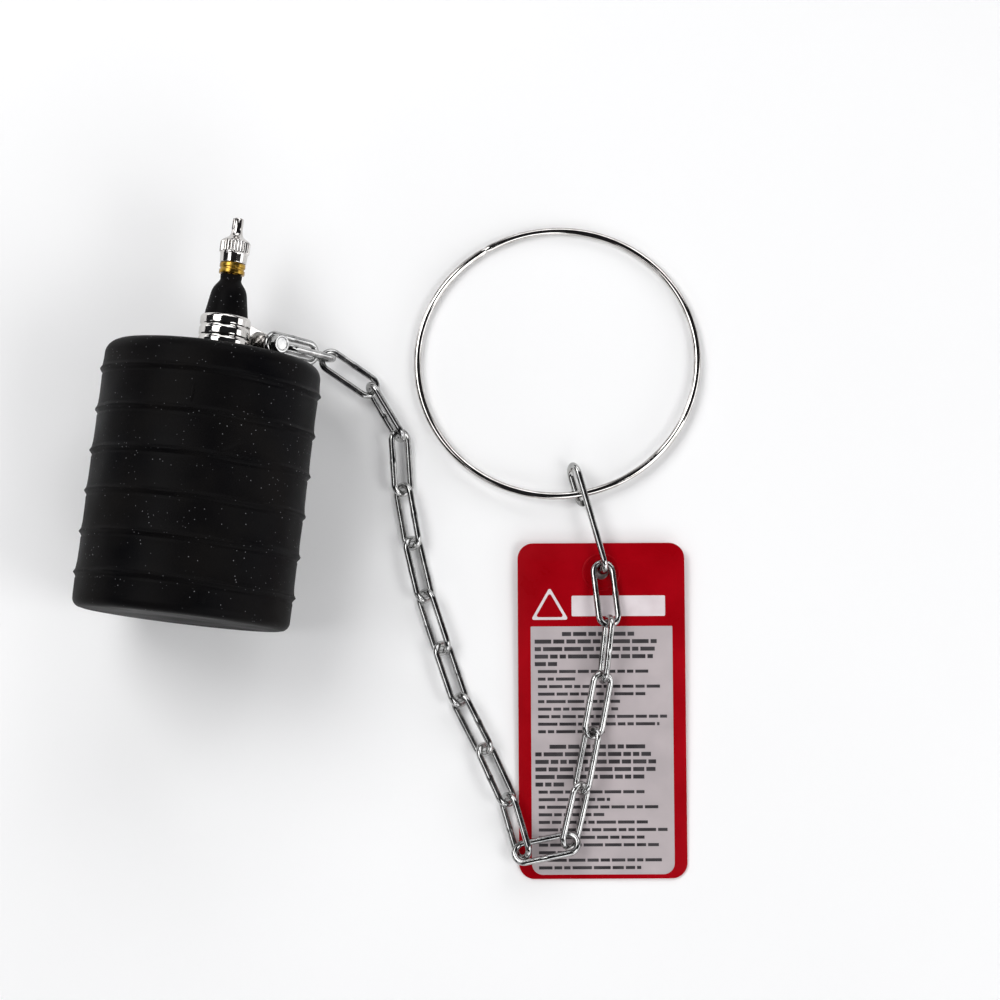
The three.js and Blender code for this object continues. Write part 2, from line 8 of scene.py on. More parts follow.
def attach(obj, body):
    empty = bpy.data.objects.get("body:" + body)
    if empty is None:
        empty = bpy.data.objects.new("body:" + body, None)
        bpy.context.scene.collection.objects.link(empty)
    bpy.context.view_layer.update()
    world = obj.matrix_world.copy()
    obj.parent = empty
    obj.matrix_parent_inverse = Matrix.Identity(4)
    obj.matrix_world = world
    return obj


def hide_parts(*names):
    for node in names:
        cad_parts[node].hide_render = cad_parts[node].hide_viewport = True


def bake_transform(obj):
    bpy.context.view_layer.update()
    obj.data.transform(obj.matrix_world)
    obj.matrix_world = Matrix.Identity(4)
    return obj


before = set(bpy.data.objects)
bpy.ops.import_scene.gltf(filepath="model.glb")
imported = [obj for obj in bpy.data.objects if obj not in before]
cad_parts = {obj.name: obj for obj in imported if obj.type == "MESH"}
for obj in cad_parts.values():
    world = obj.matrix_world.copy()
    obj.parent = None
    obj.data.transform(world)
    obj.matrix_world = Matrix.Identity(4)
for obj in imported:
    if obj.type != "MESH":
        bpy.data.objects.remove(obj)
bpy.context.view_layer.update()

# Rubber body. One hollow moulding of black rubber: a cylinder with six thin ribs that seal against the pipe,
# and a tapered neck for the valve, which grows out of one end in the same mould.
# It lies on its side, so it is a little flat underneath, and its skin is dull, dusty and scuffed.
AXIS_HEIGHT = 0.0477
BODY_HALF = 0.0595
BODY_RADIUS = 0.048
END_ROUND = 0.004
SHOULDER_ROUND = 0.006
RIB_PITCH = 0.0181
RIB_HEIGHT = 0.0012
NECK_OFFSET = 0.0029
CREST_FAR = 0.0011
CREST_NEAR = 0.0017
CREASE_ANGLE = 0.36
CREASE_Y = 0.0125
CREASE_DEPTH = 0.00045
FLAT_SPOT = 0.00002
BODY_SIDES = 236
WALL_STEPS = 260
rib_places = [0.00075 + (k - 2.5) * RIB_PITCH for k in range(6)]
plug_axis = Matrix.Translation((0, 0, AXIS_HEIGHT))
valve_axis = Matrix.Translation((NECK_OFFSET, 0, AXIS_HEIGHT))


def piece_from(name, mould, sharp=38):
    """Makes the finished mesh into a piece of its own, smooth but for its sharp edges."""
    bmesh.ops.recalc_face_normals(mould, faces=mould.faces)
    for face in mould.faces:
        face.smooth = True
    mesh = bpy.data.meshes.new(name)
    mould.to_mesh(mesh)
    mould.free()
    mesh.set_sharp_from_angle(angle=math.radians(sharp))
    piece = bpy.data.objects.new(name, mesh)
    bpy.context.scene.collection.objects.link(piece)
    return piece


def turn(mould, outline, segments, place, closed=False, shape=None):
    """Turns (radius, y) points about the Y axis; shape(radius, y, angle) may move a point in or out."""
    columns = []
    for step in range(segments):
        angle = 2 * math.pi * step / segments
        column = []
        for radius, y in outline:
            r = shape(radius, y, angle) if shape else radius
            column.append(mould.verts.new(place @ Vector((r * math.sin(angle), y, r * math.cos(angle)))))
        columns.append(column)
    spans = len(outline) if closed else len(outline) - 1
    for step in range(segments):
        here, there = columns[step], columns[(step + 1) % segments]
        for k in range(spans):
            n = (k + 1) % len(outline)
            mould.faces.new((here[k], here[n], there[n], there[k]))
    bmesh.ops.remove_doubles(mould, verts=mould.verts, dist=1e-7)


def eased(corners, steps=4, closed=False):
    """An outline of (radius, y, round) corners, each worn round by its own amount."""
    outline = []
    for k, (radius, y, worn) in enumerate(corners):
        here = Vector((radius, y))
        if worn == 0 or (not closed and k in (0, len(corners) - 1)):
            outline.append((radius, y))
            continue
        back = Vector(corners[k - 1][:2]) - here
        on = Vector(corners[(k + 1) % len(corners)][:2]) - here
        start = here + back.normalized() * min(worn, back.length * 0.48)
        end = here + on.normalized() * min(worn, on.length * 0.48)
        for step in range(steps + 1):
            t = step / steps
            point = start * (1 - t) ** 2 + here * 2 * t * (1 - t) + end * t ** 2
            outline.append((point.x, point.y))
    return outline


def rib_swell(y):
    """How far the skin stands out at a place along the body: a soft foot and a thin crest at each rib."""
    swell = 0.0
    for place in rib_places:
        off = y - place
        reach = CREST_FAR if off < 0 else CREST_NEAR
        crest = max(0.0, 1 - abs(off) / reach) ** 1.3
        foot = math.exp(-((off - 0.0006) / 0.0030) ** 2)
        undercut = math.exp(-((off + 0.0019) / 0.0006) ** 2)
        swell += RIB_HEIGHT * (0.70 * crest + 0.30 * foot - 0.30 * undercut)
    return swell


def body_skin(radius, y, angle):
    """The moulded skin is not quite even: the ribs wander, the wall bulges a little between them, and one
    short crease crosses the top."""
    if radius < BODY_RADIUS - 0.0065:
        return radius
    around = Vector((math.sin(angle) * 1.6, y * 28, math.cos(angle) * 1.6))
    wander = 0.0005 * noise.noise(around)
    near = min(abs(y + BODY_HALF), abs(y - BODY_HALF))
    uneven = 0.00022 * noise.noise(around * 2.3) * min(1, near / 0.006)
    ribbed = radius + uneven + rib_swell(y + wander) * min(1, near / 0.004)
    aside = angle - CREASE_ANGLE
    crease = math.hypot(aside / 0.09, (y - CREASE_Y - aside * 0.03) / 0.0009)
    return ribbed - CREASE_DEPTH * math.exp(-crease * crease)


def half_round(radius, from_end, worn):
    """The wall's radius at a distance from an end whose corner is rounded."""
    return radius - worn + math.sqrt(max(0.0, worn ** 2 - max(0.0, worn - from_end) ** 2))


far_face = [(0.0, -BODY_HALF + 0.0004)] + [(r, -BODY_HALF) for r in (0.012, 0.024, 0.034, 0.040, 0.0435)]
wall = []
for k in range(WALL_STEPS + 1):
    y = -BODY_HALF + 2 * BODY_HALF * k / WALL_STEPS
    worn_far = half_round(BODY_RADIUS, y + BODY_HALF, END_ROUND)
    worn_near = half_round(BODY_RADIUS, BODY_HALF - y, SHOULDER_ROUND)
    wall.append((min(worn_far, worn_near), y))
near_face = [(r, BODY_HALF) for r in (0.0405, 0.034, 0.024, 0.012, 0.0)]
mould = bmesh.new()
turn(mould, far_face + wall + near_face, BODY_SIDES, plug_axis, shape=body_skin)

# The neck, with the soft fillet at its root and the thin bead under the collar
neck_outline = eased([
    (0.0150, 0.0580, 0), (0.0126, 0.0598, 0.002), (0.0098, 0.0616, 0.002), (0.0098, 0.0767, 0.001),
    (0.00775, 0.0891, 0.0028), (0.0051, 0.0925, 0.0016), (0.00465, 0.0936, 0.0005), (0.0048, 0.0944, 0.0004),
    (0.0048, 0.0959, 0.0004), (0.0037, 0.0959, 0.0002), (0.0037, 0.0940, 0),
], steps=6)
turn(mould, neck_outline, 96, valve_axis)

# Marks of the mould on the top of the body: a short raised bar and a small flat pad
for mark_x, mark_y, half_wide, half_long, proud in ((-0.0012, 0.0347, 0.0006, 0.0040, 0.00035),
                                                    (0.0137, -0.0512, 0.0015, 0.0026, 0.00012)):
    corners = []
    for level, inset in ((-0.0004, 0), (proud * 0.6, 0), (proud, 0.0002)):
        ring = []
        for side_x, side_y in ((-1, -1), (1, -1), (1, 1), (-1, 1)):
            x = mark_x + side_x * (half_wide - inset)
            skin = math.sqrt(BODY_RADIUS ** 2 - x ** 2)
            y = mark_y + side_y * (half_long - inset)
            ring.append(mould.verts.new((x, y, AXIS_HEIGHT + skin + level)))
        corners.append(ring)
    for low, high in zip(corners, corners[1:]):
        for k in range(4):
            mould.faces.new((low[k], low[(k + 1) % 4], high[(k + 1) % 4], high[k]))
    mould.faces.new(corners[-1])

# The flat spot that the body rests on
for vert in mould.verts:
    vert.co.z = max(vert.co.z, FLAT_SPOT)
moulded_body = piece_from("moulded_body", mould, sharp=50)


def clouded(name, dark, light, metal, gloss, cloud_size, grain_size, relief):
    """A finish whose colour and gloss drift in soft clouds over a fine grain that stands in relief."""
    finish = bpy.data.materials.new(name)
    finish.use_nodes = True
    nodes, links = finish.node_tree.nodes, finish.node_tree.links
    shader = nodes["Principled BSDF"]
    shader.inputs["Metallic"].default_value = metal
    where = nodes.new("ShaderNodeTexCoord").outputs["Object"]
    cloud = nodes.new("ShaderNodeTexNoise")
    cloud.inputs["Scale"].default_value = 1 / cloud_size
    cloud.inputs["Detail"].default_value = 6
    links.new(where, cloud.inputs["Vector"])
    tint = nodes.new("ShaderNodeValToRGB")
    tint.color_ramp.elements[0].position = 0.34
    tint.color_ramp.elements[0].color = (*dark, 1)
    tint.color_ramp.elements[1].position = 0.68
    tint.color_ramp.elements[1].color = (*light, 1)
    links.new(cloud.outputs["Fac"], tint.inputs["Fac"])
    links.new(tint.outputs["Color"], shader.inputs["Base Color"])
    shine = nodes.new("ShaderNodeMapRange")
    shine.inputs["From Min"].default_value = 0.3
    shine.inputs["From Max"].default_value = 0.7
    shine.inputs["To Min"].default_value = gloss[0]
    shine.inputs["To Max"].default_value = gloss[1]
    links.new(cloud.outputs["Fac"], shine.inputs["Value"])
    links.new(shine.outputs["Result"], shader.inputs["Roughness"])
    grain = nodes.new("ShaderNodeTexNoise")
    grain.inputs["Scale"].default_value = 1 / grain_size
    grain.inputs["Detail"].default_value = 3
    links.new(where, grain.inputs["Vector"])
    bump = nodes.new("ShaderNodeBump")
    bump.inputs["Strength"].default_value = 1
    bump.inputs["Distance"].default_value = relief
    links.new(grain.outputs["Fac"], bump.inputs["Height"])
    links.new(bump.outputs["Normal"], shader.inputs["Normal"])
    return finish


def speckled(finish, speck_colour, spacing, size, amount):
    """Adds fine specks, such as dust or pits, scattered in patches over a finish."""
    nodes, links = finish.node_tree.nodes, finish.node_tree.links
    shader = nodes["Principled BSDF"]
    where = nodes.new("ShaderNodeTexCoord").outputs["Object"]
    cells = nodes.new("ShaderNodeTexVoronoi")
    cells.inputs["Scale"].default_value = 1 / spacing
    links.new(where, cells.inputs["Vector"])
    speck = nodes.new("ShaderNodeMapRange")
    speck.inputs["From Min"].default_value = size
    speck.inputs["From Max"].default_value = size * 0.5
    links.new(cells.outputs["Distance"], speck.inputs["Value"])
    patch = nodes.new("ShaderNodeTexNoise")
    patch.inputs["Scale"].default_value = 1 / (spacing * 6)
    patch.inputs["Detail"].default_value = 4
    links.new(where, patch.inputs["Vector"])
    patchy = nodes.new("ShaderNodeMapRange")
    patchy.inputs["From Min"].default_value = 0.42
    patchy.inputs["From Max"].default_value = 0.60
    patchy.inputs["To Max"].default_value = amount
    links.new(patch.outputs["Fac"], patchy.inputs["Value"])
    share = nodes.new("ShaderNodeMath")
    share.operation = "MULTIPLY"
    links.new(speck.outputs["Result"], share.inputs[0])
    links.new(patchy.outputs["Result"], share.inputs[1])
    mix = nodes.new("ShaderNodeMix")
    mix.data_type = "RGBA"
    old = shader.inputs["Base Color"].links[0].from_socket
    links.new(share.outputs["Value"], mix.inputs["Factor"])
    links.new(old, mix.inputs[6])
    mix.inputs[7].default_value = (*speck_colour, 1)
    links.new(mix.outputs[2], shader.inputs["Base Color"])


black_rubber = clouded("black_rubber", (0.0008, 0.0008, 0.0014), (0.0044, 0.0038, 0.0036), 0,
                       (0.40, 0.58), 0.030, 0.0006, 0.00006)
black_rubber.node_tree.nodes["Principled BSDF"].inputs["Specular IOR Level"].default_value = 0.045
speckled(black_rubber, (0.20, 0.20, 0.21), 0.0022, 0.13, 0.9)
moulded_body.data.materials.append(black_rubber)
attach(moulded_body, "plug")
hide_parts("rubber_body")

# Valve stem. A turned brass tube bonded in the neck, with a foot inside the body, a grooved collar above the
# rubber and a fine thread on its nozzle, which the cap screws onto.
COLLAR_FOOT = 0.0962
NOZZLE_FOOT = 0.1009
NOZZLE_MOUTH = 0.1090
NOZZLE_RADIUS = 0.0039
COLLAR_RADIUS = 0.00575
THREAD_PITCH = 0.0008
THREAD_DEPTH = 0.00034


def nozzle_thread(radius, y, angle):
    """The fine thread, cut into the outside of the nozzle only."""
    if radius < 0.0036 or not NOZZLE_FOOT + 0.0008 < y < NOZZLE_MOUTH - 0.0006:
        return radius
    share = (y / THREAD_PITCH + angle / (2 * math.pi)) % 1
    return radius - THREAD_DEPTH * abs(2 * share - 1)


thread_rings = [(NOZZLE_RADIUS, NOZZLE_FOOT + 0.0001 * k, 0) for k in range(2, 80)]
stem_outline = eased([
    (0.0016, 0.0502, 0), (0.0090, 0.0502, 0.0003), (0.0090, 0.0522, 0.0003), (0.0034, 0.0522, 0.0004),
    (0.0034, COLLAR_FOOT, 0), (COLLAR_RADIUS, COLLAR_FOOT, 0.0003), (COLLAR_RADIUS, 0.0979, 0.0001),
    (0.00532, 0.0982, 0.0001), (0.00532, 0.0989, 0.0001), (COLLAR_RADIUS, 0.0992, 0.0001),
    (COLLAR_RADIUS, NOZZLE_FOOT, 0.0003), (NOZZLE_RADIUS, NOZZLE_FOOT, 0), *thread_rings,
    (NOZZLE_RADIUS, NOZZLE_MOUTH, 0.0003), (0.0027, NOZZLE_MOUTH, 0.0002), (0.0027, 0.0910, 0),
    (0.0016, 0.0910, 0),
], closed=True)
mould = bmesh.new()
turn(mould, stem_outline, 72, valve_axis, closed=True, shape=nozzle_thread)
turned_stem = piece_from("turned_stem", mould)
worn_brass = clouded("worn_brass", (0.26, 0.145, 0.022), (0.48, 0.30, 0.055), 1,
                     (0.20, 0.34), 0.004, 0.0003, 0.00001)
turned_stem.data.materials.append(worn_brass)
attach(turned_stem, "plug")
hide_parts("valve_stem")

# Valve core. A brass sleeve screwed into the nozzle, with a pin through it whose head is pressed to let air
# out, a rubber seal on the pin's foot, and a fine steel spring that holds the seal up against the sleeve.
core_turnings = {
    "core_sleeve": ("core_body", "plug", [
        (0.0010, 0.0970, 0), (0.0024, 0.0970, 0.0002), (0.0024, 0.1080, 0.0002), (0.0018, 0.1080, 0.0001),
        (0.0018, 0.1030, 0), (0.0010, 0.1030, 0)]),
    "valve_pin": ("core_pin", "pin", [
        (0.0, 0.0939, 0), (0.0019, 0.0939, 0.0002), (0.0019, 0.0954, 0.0002), (0.0006, 0.0954, 0),
        (0.0006, 0.1073, 0), (0.0014, 0.1073, 0.0001), (0.0014, 0.1081, 0.0003), (0.0, 0.1081, 0)]),
}
for name, (node, body, corners) in core_turnings.items():
    mould = bmesh.new()
    hollow = corners[0][0] > 0
    turn(mould, eased(corners, closed=hollow), 48, valve_axis, closed=hollow)
    turning = piece_from(name, mould)
    turning.data.materials.append(worn_brass)
    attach(turning, body)
    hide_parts(node)

# The seal and the gasket in the cap are plain washers, so the solids stay and get their finish here
seal_rubber = clouded("seal_rubber", (0.006, 0.006, 0.007), (0.016, 0.016, 0.017), 0,
                      (0.40, 0.55), 0.004, 0.0002, 0.00001)
for node in ("core_seal", "cap_gasket"):
    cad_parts[node].data.materials.clear()
    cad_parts[node].data.materials.append(seal_rubber)

# Valve cap. A turned and chromed metal cap: a plain skirt, a knurled grip, a shoulder and a slotted key
# end that unscrews the valve core. It screws onto the nozzle, and its skirt hides the thread.
CAP_FOOT = 0.1012
GRIP_FOOT = 0.1058
GRIP_TOP = 0.1110
KEY_FOOT = 0.1133
KEY_TOP = 0.1218
KEY_RADIUS = 0.00245
SLOT_FOOT = 0.1163
SLOT_HALF = 0.00055
SLOT_ANGLE = math.radians(29)
PRONG_POINTS = 21
GRIP_RADIUS = 0.00660
KNURL_RIDGES = 26
KNURL_DEPTH = 0.00055
knurl_rings = [(GRIP_RADIUS, GRIP_FOOT + (GRIP_TOP - GRIP_FOOT) * k / 16, 0) for k in range(17)]
cap_outline = eased([
    (0.0055, CAP_FOOT, 0.0002), (0.0059, CAP_FOOT, 0.0003), (0.00615, GRIP_FOOT - 0.0006, 0.0004),
    *knurl_rings, (0.0059, GRIP_TOP + 0.0006, 0.0004), (0.0033, KEY_FOOT, 0.0006),
    (KEY_RADIUS + 0.0002, KEY_FOOT + 0.0012, 0.0005), (KEY_RADIUS, SLOT_FOOT, 0), (0.0, SLOT_FOOT, 0),
    (0.0, 0.1102, 0), (0.0043, 0.1102, 0.0002), (0.0043, CAP_FOOT + 0.0006, 0.0002),
    (0.0049, CAP_FOOT, 0.0001),
], steps=5, closed=True)


def knurl(radius, y, angle):
    """Rounded ridges round the grip, fading out at both ends of the band."""
    if not (GRIP_FOOT - 0.0001 <= y <= GRIP_TOP + 0.0001 and radius > 0.006):
        return radius
    fade = min(1, (y - GRIP_FOOT + 0.0001) / 0.0004, (GRIP_TOP - y + 0.0001) / 0.0005)
    wave = abs(math.sin(angle * KNURL_RIDGES / 2)) ** 0.8
    return radius - 0.00035 + KNURL_DEPTH * wave * fade


mould = bmesh.new()
turn(mould, cap_outline, KNURL_RIDGES * 8, valve_axis, closed=True, shape=knurl)
# The key's two prongs: half round, with the slot between them
key_frame = valve_axis @ Matrix.Rotation(SLOT_ANGLE, 4, "Y")
prong_steps = ((SLOT_FOOT - 0.0002, 0), (KEY_TOP - 0.0006, 0), (KEY_TOP - 0.0002, 0.00025), (KEY_TOP, 0.0007))
for side in (-1, 1):
    levels = []
    for y, draw_in in prong_steps:
        r = KEY_RADIUS - draw_in
        near = SLOT_HALF + draw_in * 0.3
        sweep = math.acos(near / r)
        ring = []
        for k in range(PRONG_POINTS):
            a = -sweep + 2 * sweep * k / (PRONG_POINTS - 1)
            spot = Vector((side * r * math.sin(a), y, side * r * math.cos(a)))
            ring.append(mould.verts.new(key_frame @ spot))
        levels.append(ring)
    for low, high in zip(levels, levels[1:]):
        for k in range(PRONG_POINTS):
            n = (k + 1) % PRONG_POINTS
            mould.faces.new((low[k], low[n], high[n], high[k]))
    mould.faces.new(levels[-1])
    mould.faces.new(levels[0])
chromed_cap = piece_from("chromed_cap", mould, sharp=32)


def plated(name, dark, light, gloss, scratch_depth):
    """Bright plating: a mirror that fine scratches and handling have dulled a little."""
    finish = clouded(name, dark, light, 1, gloss, 0.006, 0.0004, scratch_depth * 0.4)
    nodes, links = finish.node_tree.nodes, finish.node_tree.links
    shader = nodes["Principled BSDF"]
    where = nodes.new("ShaderNodeTexCoord").outputs["Object"]
    drawn = nodes.new("ShaderNodeMapping")
    drawn.inputs["Scale"].default_value = (1, 9, 9)
    drawn.inputs["Rotation"].default_value = (0.3, 0.5, 0.9)
    links.new(where, drawn.inputs["Vector"])
    scratch = nodes.new("ShaderNodeTexNoise")
    scratch.inputs["Scale"].default_value = 420
    scratch.inputs["Detail"].default_value = 5
    links.new(drawn.outputs["Vector"], scratch.inputs["Vector"])
    score = nodes.new("ShaderNodeBump")
    score.inputs["Distance"].default_value = scratch_depth
    links.new(scratch.outputs["Fac"], score.inputs["Height"])
    links.new(shader.inputs["Normal"].links[0].from_socket, score.inputs["Normal"])
    links.new(score.outputs["Normal"], shader.inputs["Normal"])
    return finish


bright_chrome = plated("bright_chrome", (0.50, 0.48, 0.46), (0.72, 0.70, 0.68), (0.05, 0.12), 0.000001)
chromed_cap.data.materials.append(bright_chrome)
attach(chromed_cap, "cap")
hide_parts("valve_cap")

# Clamp strap. A plated steel strip with three rolled beads, bent round the root of the neck; its two ends run
# out side by side as ears, with round tips, and the bolt draws them together so that it grips the rubber.
CLAMP_DROOP = math.radians(45)
clamp_frame = valve_axis @ Matrix.Rotation(CLAMP_DROOP, 4, "Y")
STRAP_MIDDLE = 0.0107
STRAP_HALF = 0.0006
STRAP_FOOT = 0.0621
STRAP_WIDE = 0.0146
EAR_BEND = 0.0036
EAR_PLANE = 0.0009
EAR_REACH = 0.0236
EAR_HALF = 0.00475
BOLT_Y = 0.0690
GROOVE_DEPTH = 0.0005
EAR_STEPS = 14
BEND_STEPS = 8
LOOP_STEPS = 48
ACROSS = 46
bend_height = EAR_PLANE + EAR_BEND
bend_centre = Vector((math.sqrt((STRAP_MIDDLE + EAR_BEND) ** 2 - bend_height ** 2), bend_height))
bend_angle = math.atan2(bend_centre.y, bend_centre.x)
# Half of the strap, from an ear's tip to the far side of the neck: point, outward side, share of the beads
ear_line = [EAR_REACH + EAR_HALF * math.cos(math.pi / 2 * k / EAR_STEPS) for k in range(EAR_STEPS + 1)]
ear_line += [EAR_REACH + (bend_centre.x - EAR_REACH) * k / EAR_STEPS for k in range(1, EAR_STEPS + 1)]
half_path = [(Vector((x, EAR_PLANE)), Vector((0, 1)), 0.0) for x in ear_line]
for k in range(1, BEND_STEPS + 1):
    angle = -math.pi / 2 - (math.pi / 2 - bend_angle) * k / BEND_STEPS
    arm = Vector((math.cos(angle), math.sin(angle)))
    half_path.append((bend_centre + arm * EAR_BEND, -arm, 0.0))
for k in range(1, LOOP_STEPS + 1):
    angle = bend_angle + (math.pi - bend_angle) * k / LOOP_STEPS
    arm = Vector((math.cos(angle), math.sin(angle)))
    half_path.append((arm * STRAP_MIDDLE, arm, min(1, k / 5)))
path = half_path + [(Vector((p.x, -p.y)), Vector((n.x, -n.y)), b) for p, n, b in half_path[-2::-1]]
mould = bmesh.new()
outer, inner = [], []
for point, normal, beaded in path:
    if point.x > EAR_REACH:
        half_wide = max(0.00003, math.sqrt(max(0.0, EAR_HALF ** 2 - (point.x - EAR_REACH) ** 2)))
    else:
        half_wide = min(STRAP_WIDE / 2, 0.0095 - EAR_HALF * max(0.0, point.x) / EAR_REACH)
    middle = BOLT_Y + 0.0004 * (1 if beaded else 0)
    rows = ([], [])
    for k in range(ACROSS + 1):
        side = -math.cos(math.pi * k / ACROSS)
        side = 0.6 * side + 0.4 * (2 * k / ACROSS - 1)
        y = middle + half_wide * side
        from_edge = half_wide * (1 - abs(side))
        worn = STRAP_HALF * 0.5 * max(0.0, 1 - from_edge / 0.0003) ** 2
        along = (y - STRAP_FOOT) / (STRAP_WIDE / 3)
        groove = GROOVE_DEPTH * beaded * max(0.0, math.cos(2 * math.pi * along)) ** 2.2
        out = point + normal * (STRAP_HALF - worn - groove)
        back = point - normal * (STRAP_HALF - worn)
        rows[0].append(mould.verts.new(clamp_frame @ Vector((out.x, y, out.y))))
        rows[1].append(mould.verts.new(clamp_frame @ Vector((back.x, y, back.y))))
    outer.append(rows[0])
    inner.append(rows[1])
for sheet in (outer, inner):
    for low, high in zip(sheet, sheet[1:]):
        for k in range(ACROSS):
            mould.faces.new((low[k], low[k + 1], high[k + 1], high[k]))
for k in (0, ACROSS):
    for step in range(len(outer) - 1):
        mould.faces.new((outer[step][k], outer[step + 1][k], inner[step + 1][k], inner[step][k]))
for step in (0, -1):
    for k in range(ACROSS):
        mould.faces.new((outer[step][k], outer[step][k + 1], inner[step][k + 1], inner[step][k]))
bmesh.ops.remove_doubles(mould, verts=mould.verts, dist=1e-6)
beaded_strap = piece_from("beaded_strap", mould, sharp=42)
beaded_strap.data.materials.append(bright_chrome)
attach(beaded_strap, "plug")
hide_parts("clamp_strap")

# Clamp bolt and its two nuts. Steel, zinc plated but for the bright upper nut, cold headed, with a rolled
# thread. The nuts pinch the two ears between them, and the chain's first link is held on the shank between
# the upper nut and the head.
SHANK_RADIUS = 0.0025
HEX_FLAT = 0.0040
NUT_HIGH = 0.0035
NUT_SEAT = 0.0018
SHANK_FOOT = -0.0065
HEAD_SEAT = 0.0092
HEAD_HIGH = 0.0035
BOLT_PITCH = 0.0008
BOLT_THREAD_DEPTH = 0.00032
bolt_frame = clamp_frame @ Matrix.Translation((EAR_REACH, BOLT_Y, 0)) @ Matrix.Rotation(math.pi / 2, 4, "X")


def hexagonal(radius, y, angle):
    """Six flats, where the outline asks for more than the flats allow."""
    if radius <= HEX_FLAT * 0.98:
        return radius
    turned_by = (angle + math.pi / 6) % (math.pi / 3) - math.pi / 6
    return min(radius, HEX_FLAT / math.cos(turned_by))


def bolt_thread(radius, y, angle):
    """The thread on the shank, and the six flats on the head."""
    if abs(radius - SHANK_RADIUS) > 0.00001 or y > HEAD_SEAT - 0.0006 or y < SHANK_FOOT + 0.0004:
        return hexagonal(radius, y, angle)
    share = (y / BOLT_PITCH + angle / (2 * math.pi)) % 1
    return radius - BOLT_THREAD_DEPTH * abs(2 * share - 1)


HEX_CORNER = HEX_FLAT / math.cos(math.pi / 6)
shank_rings = [(SHANK_RADIUS, SHANK_FOOT + 0.0004 + 0.00011 * k, 0) for k in range(138)]
head_top = HEAD_SEAT + HEAD_HIGH
bolt_outline = eased([
    (0.0, SHANK_FOOT, 0), (0.0020, SHANK_FOOT, 0), *shank_rings, (SHANK_RADIUS, HEAD_SEAT, 0),
    (HEX_FLAT * 1.02, HEAD_SEAT, 0), (HEX_CORNER, HEAD_SEAT + 0.0004, 0), (HEX_CORNER, head_top - 0.0006, 0),
    (HEX_FLAT * 0.97, head_top, 0.0002), (0.0030, head_top, 0.0003), (0.0028, head_top - 0.0003, 0.0002),
    (0.0, head_top - 0.0003, 0),
])
mould = bmesh.new()
turn(mould, bolt_outline, 96, bolt_frame, shape=bolt_thread)
headed_bolt = piece_from("headed_bolt", mould, sharp=30)
zinc_plate = plated("zinc_plate", (0.30, 0.30, 0.30), (0.56, 0.56, 0.55), (0.10, 0.22), 0.000002)
headed_bolt.data.materials.append(zinc_plate)
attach(headed_bolt, "plug")
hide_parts("clamp_bolt")
for name, node, foot, finish, slot in (
    ("upper_nut", "clamp_nut_upper", NUT_SEAT, bright_chrome, "plated_steel"),
    ("lower_nut", "clamp_nut_lower", -NUT_SEAT - NUT_HIGH, zinc_plate, "zinc_steel"),
):
    top = foot + NUT_HIGH
    nut_outline = eased([
        (0.0028, foot, 0.0003), (HEX_FLAT * 0.97, foot, 0.0002), (HEX_CORNER, foot + 0.0006, 0),
        (HEX_CORNER, top - 0.0006, 0), (HEX_FLAT * 0.97, top, 0.0002), (0.0028, top, 0.0003),
    ], closed=True)
    mould = bmesh.new()
    turn(mould, nut_outline, 96, bolt_frame, closed=True, shape=hexagonal)
    nut = piece_from(name, mould, sharp=30)
    nut.data.materials.append(finish)
    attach(nut, "plug")
    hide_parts(node)

# Chain. Eighteen long links of 3 mm zinc plated wire, each bent to shape, butted in the middle of one long
# side and welded there, which leaves a low swelling. The links lie slack, each turned against the next.
LINK_BEND = 0.0045
LINK_STRAIGHT = 0.0100
LINK_WIRE = 0.00147
LINK_COUNT = 18
LINK_STEPS = 24
WELD_POINT = 36
WELD_SWELL = 0.10


def wire(mould, points, radius, sides, closed=False, plane=None, swell=None):
    """Round wire along the points. swell(k) gives the share by which the wire is thicker at point k."""
    count = len(points)
    rings = []
    across = None
    for k, point in enumerate(points):
        before = points[k - 1] if closed or k else points[0]
        after = points[(k + 1) % count] if closed or k < count - 1 else points[-1]
        along = (after - before).normalized()
        if plane is not None:
            across = plane
        elif across is None:
            across = along.orthogonal().normalized()
        else:
            across = (across - along * across.dot(along)).normalized()
        other = along.cross(across).normalized()
        r = radius * (1 + (swell(k) if swell else 0))
        rings.append([
            mould.verts.new(point + (across * math.cos(a) + other * math.sin(a)) * r)
            for a in (2 * math.pi * s / sides for s in range(sides))
        ])
    spans = count if closed else count - 1
    for k in range(spans):
        here, there = rings[k], rings[(k + 1) % count]
        for s in range(sides):
            mould.faces.new((here[s], here[(s + 1) % sides], there[(s + 1) % sides], there[s]))
    if not closed:
        mould.faces.new(rings[0])
        mould.faces.new(rings[-1])


link_line = []
for end in (1, -1):
    for k in range(LINK_STEPS + 1):
        angle = end * math.pi / 2 - math.pi * k / LINK_STEPS
        x = end * LINK_STRAIGHT + LINK_BEND * math.cos(angle)
        link_line.append(Vector((x, LINK_BEND * math.sin(angle), 0)))
    for k in range(1, LINK_STEPS):
        x = end * LINK_STRAIGHT * (1 - 2 * k / LINK_STEPS)
        link_line.append(Vector((x, -end * LINK_BEND, 0)))


def weld_swell(k):
    """The low swelling round the weld, which is at one point of the link's line."""
    return WELD_SWELL * math.exp(-((k - WELD_POINT) / 1.5) ** 2)


